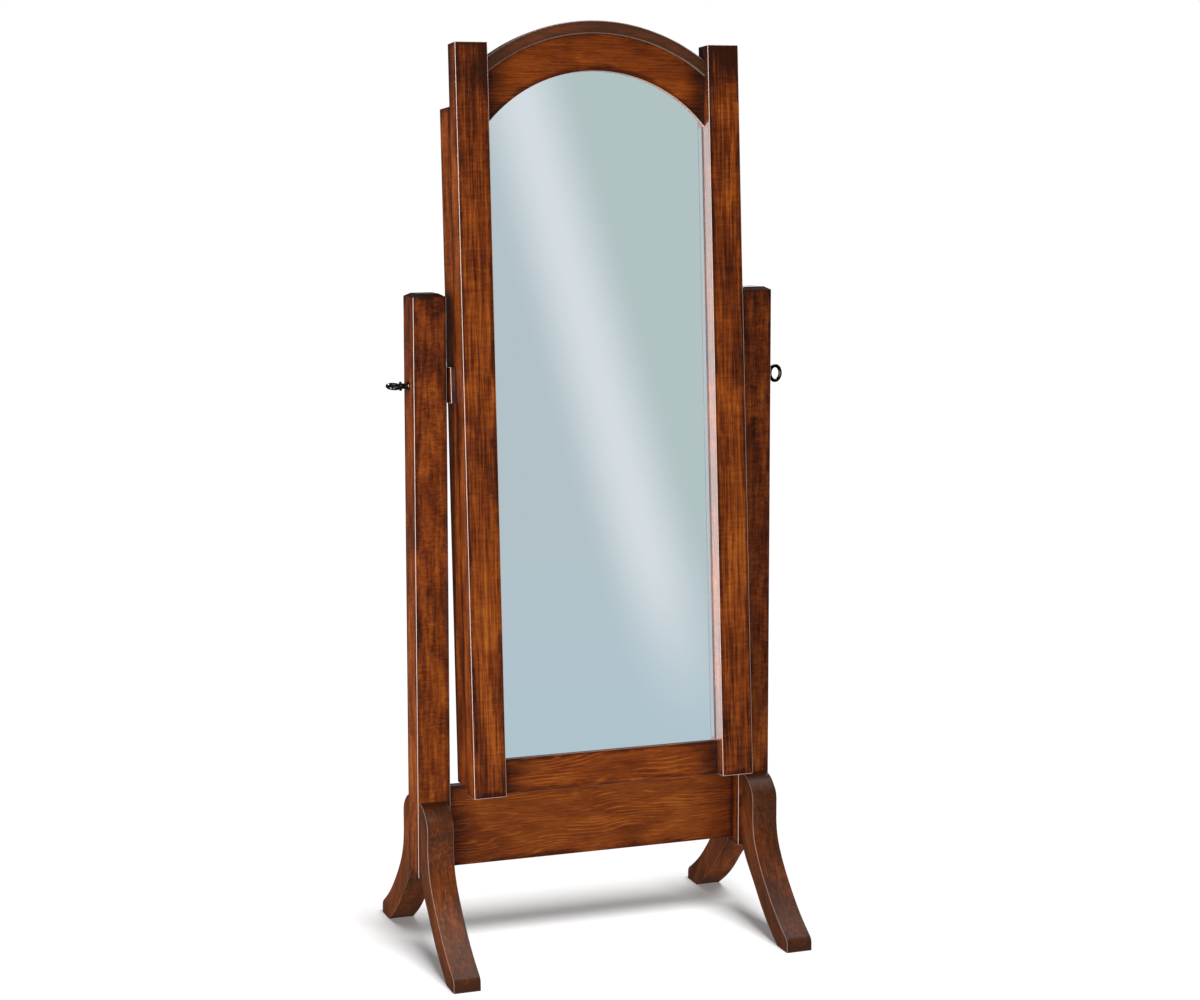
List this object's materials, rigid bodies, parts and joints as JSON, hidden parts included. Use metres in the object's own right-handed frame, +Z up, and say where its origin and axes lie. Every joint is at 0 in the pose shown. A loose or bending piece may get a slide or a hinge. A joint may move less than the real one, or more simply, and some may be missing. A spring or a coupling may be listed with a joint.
{
  "type": "cheval floor mirror",
  "caption": "Free-standing full-length mirror with an arched top that tilts between posts on sabre legs; the mirror is the door of a shallow cabinet.",
  "frame": {"origin": "on the floor, midway between the posts and between the front and rear toes", "axes": "+Z up, the mirror faces -Y, +X to the right of someone who looks into the mirror"},
  "size_m": [0.7765, 0.494, 1.7076],
  "materials": {
    "wood_post": "gloss stained reddish brown",
    "wood_leg": "satin stained reddish brown",
    "wood_stile": "gloss stained reddish brown",
    "wood_rail": "gloss stained reddish brown",
    "wood_case": "satin stained reddish brown",
    "mirror_silvered": "polished, silvered behind, bevelled edge",
    "hardboard": "plain",
    "felt": "black flocked",
    "iron_black": "blackened, semi-gloss",
    "steel_plated": "zinc plated",
    "brass": "satin",
    "fibre": "plain",
    "plastic_brown": "matt"
  },
  "bodies": {
    "stand": {"stretcher": "wood_rail", "post_left": "wood_post", "leg_stud_left": "steel_plated", "pivot_bushing_left": "brass", "pivot_ferrule_left": "iron_black", "leg_front_left": "wood_leg", "leg_rear_left": "wood_leg", "barrel_nut_front_left": "steel_plated", "barrel_nut_rear_left": "steel_plated", "post_right": "wood_post", "leg_stud_right": "steel_plated", "pivot_bushing_right": "brass", "pivot_ferrule_right": "iron_black", "leg_front_right": "wood_leg", "leg_rear_right": "wood_leg", "barrel_nut_front_right": "steel_plated", "barrel_nut_rear_right": "steel_plated"},
    "case": {"case_back": "wood_case", "case_bottom": "wood_case", "case_side_left": "wood_case", "case_side_right": "wood_case", "case_top": "wood_case", "felt_liner": "felt", "friction_pad_left": "fibre", "friction_pad_right": "fibre", "hinge_pin_bottom": "steel_plated", "hinge_pin_top": "steel_plated", "hinge_plate_bottom": "steel_plated", "hinge_plate_top": "steel_plated", "hinge_screw_bottom_inner": "steel_plated", "hinge_screw_bottom_outer": "steel_plated", "hinge_screw_top_inner": "steel_plated", "hinge_screw_top_outer": "steel_plated", "hook_rail": "wood_case", "magnet_catch_bottom": "plastic_brown", "magnet_catch_top": "plastic_brown", "necklace_hook_1": "brass", "necklace_hook_2": "brass", "necklace_hook_3": "brass", "necklace_hook_4": "brass", "necklace_hook_5": "brass", "pivot_block_left": "wood_case", "pivot_block_right": "wood_case", "pivot_insert_left": "brass", "pivot_insert_right": "brass", "tray_floor": "wood_case", "tray_front": "wood_case"},
    "door": {"stile_left": "wood_stile", "stile_right": "wood_stile", "top_rail": "wood_rail", "cap_moulding": "wood_rail", "bottom_rail": "wood_rail", "mirror_glass": "mirror_silvered", "mirror_backing": "hardboard", "strike_plate_top": "steel_plated", "strike_plate_bottom": "steel_plated"},
    "eye_screw_left": {"eye_screw_left": "iron_black"},
    "eye_screw_right": {"eye_screw_right": "iron_black"}
  },
  "joints": [
    {"name": "mirror_tilt", "type": "hinge", "parent": "stand", "child": "case", "pos_m": [0, 0, 1.052], "axis": [-1, 0, 0], "range_deg": [-6, 12]},
    {"name": "door_swing", "type": "hinge", "parent": "case", "child": "door", "pos_m": [0.2655, -0.07833, 1.0572], "axis": [0, 0.0663, 0.9978], "range_deg": [0, 95]},
    {"name": "eye_screw_left_turn", "type": "hinge", "parent": "stand", "child": "eye_screw_left", "pos_m": [-0.36, 0, 1.052], "axis": [-1, 0, 0], "continuous": true},
    {"name": "eye_screw_right_turn", "type": "hinge", "parent": "stand", "child": "eye_screw_right", "pos_m": [0.36, 0, 1.052], "axis": [1, 0, 0], "continuous": true}
  ]
}
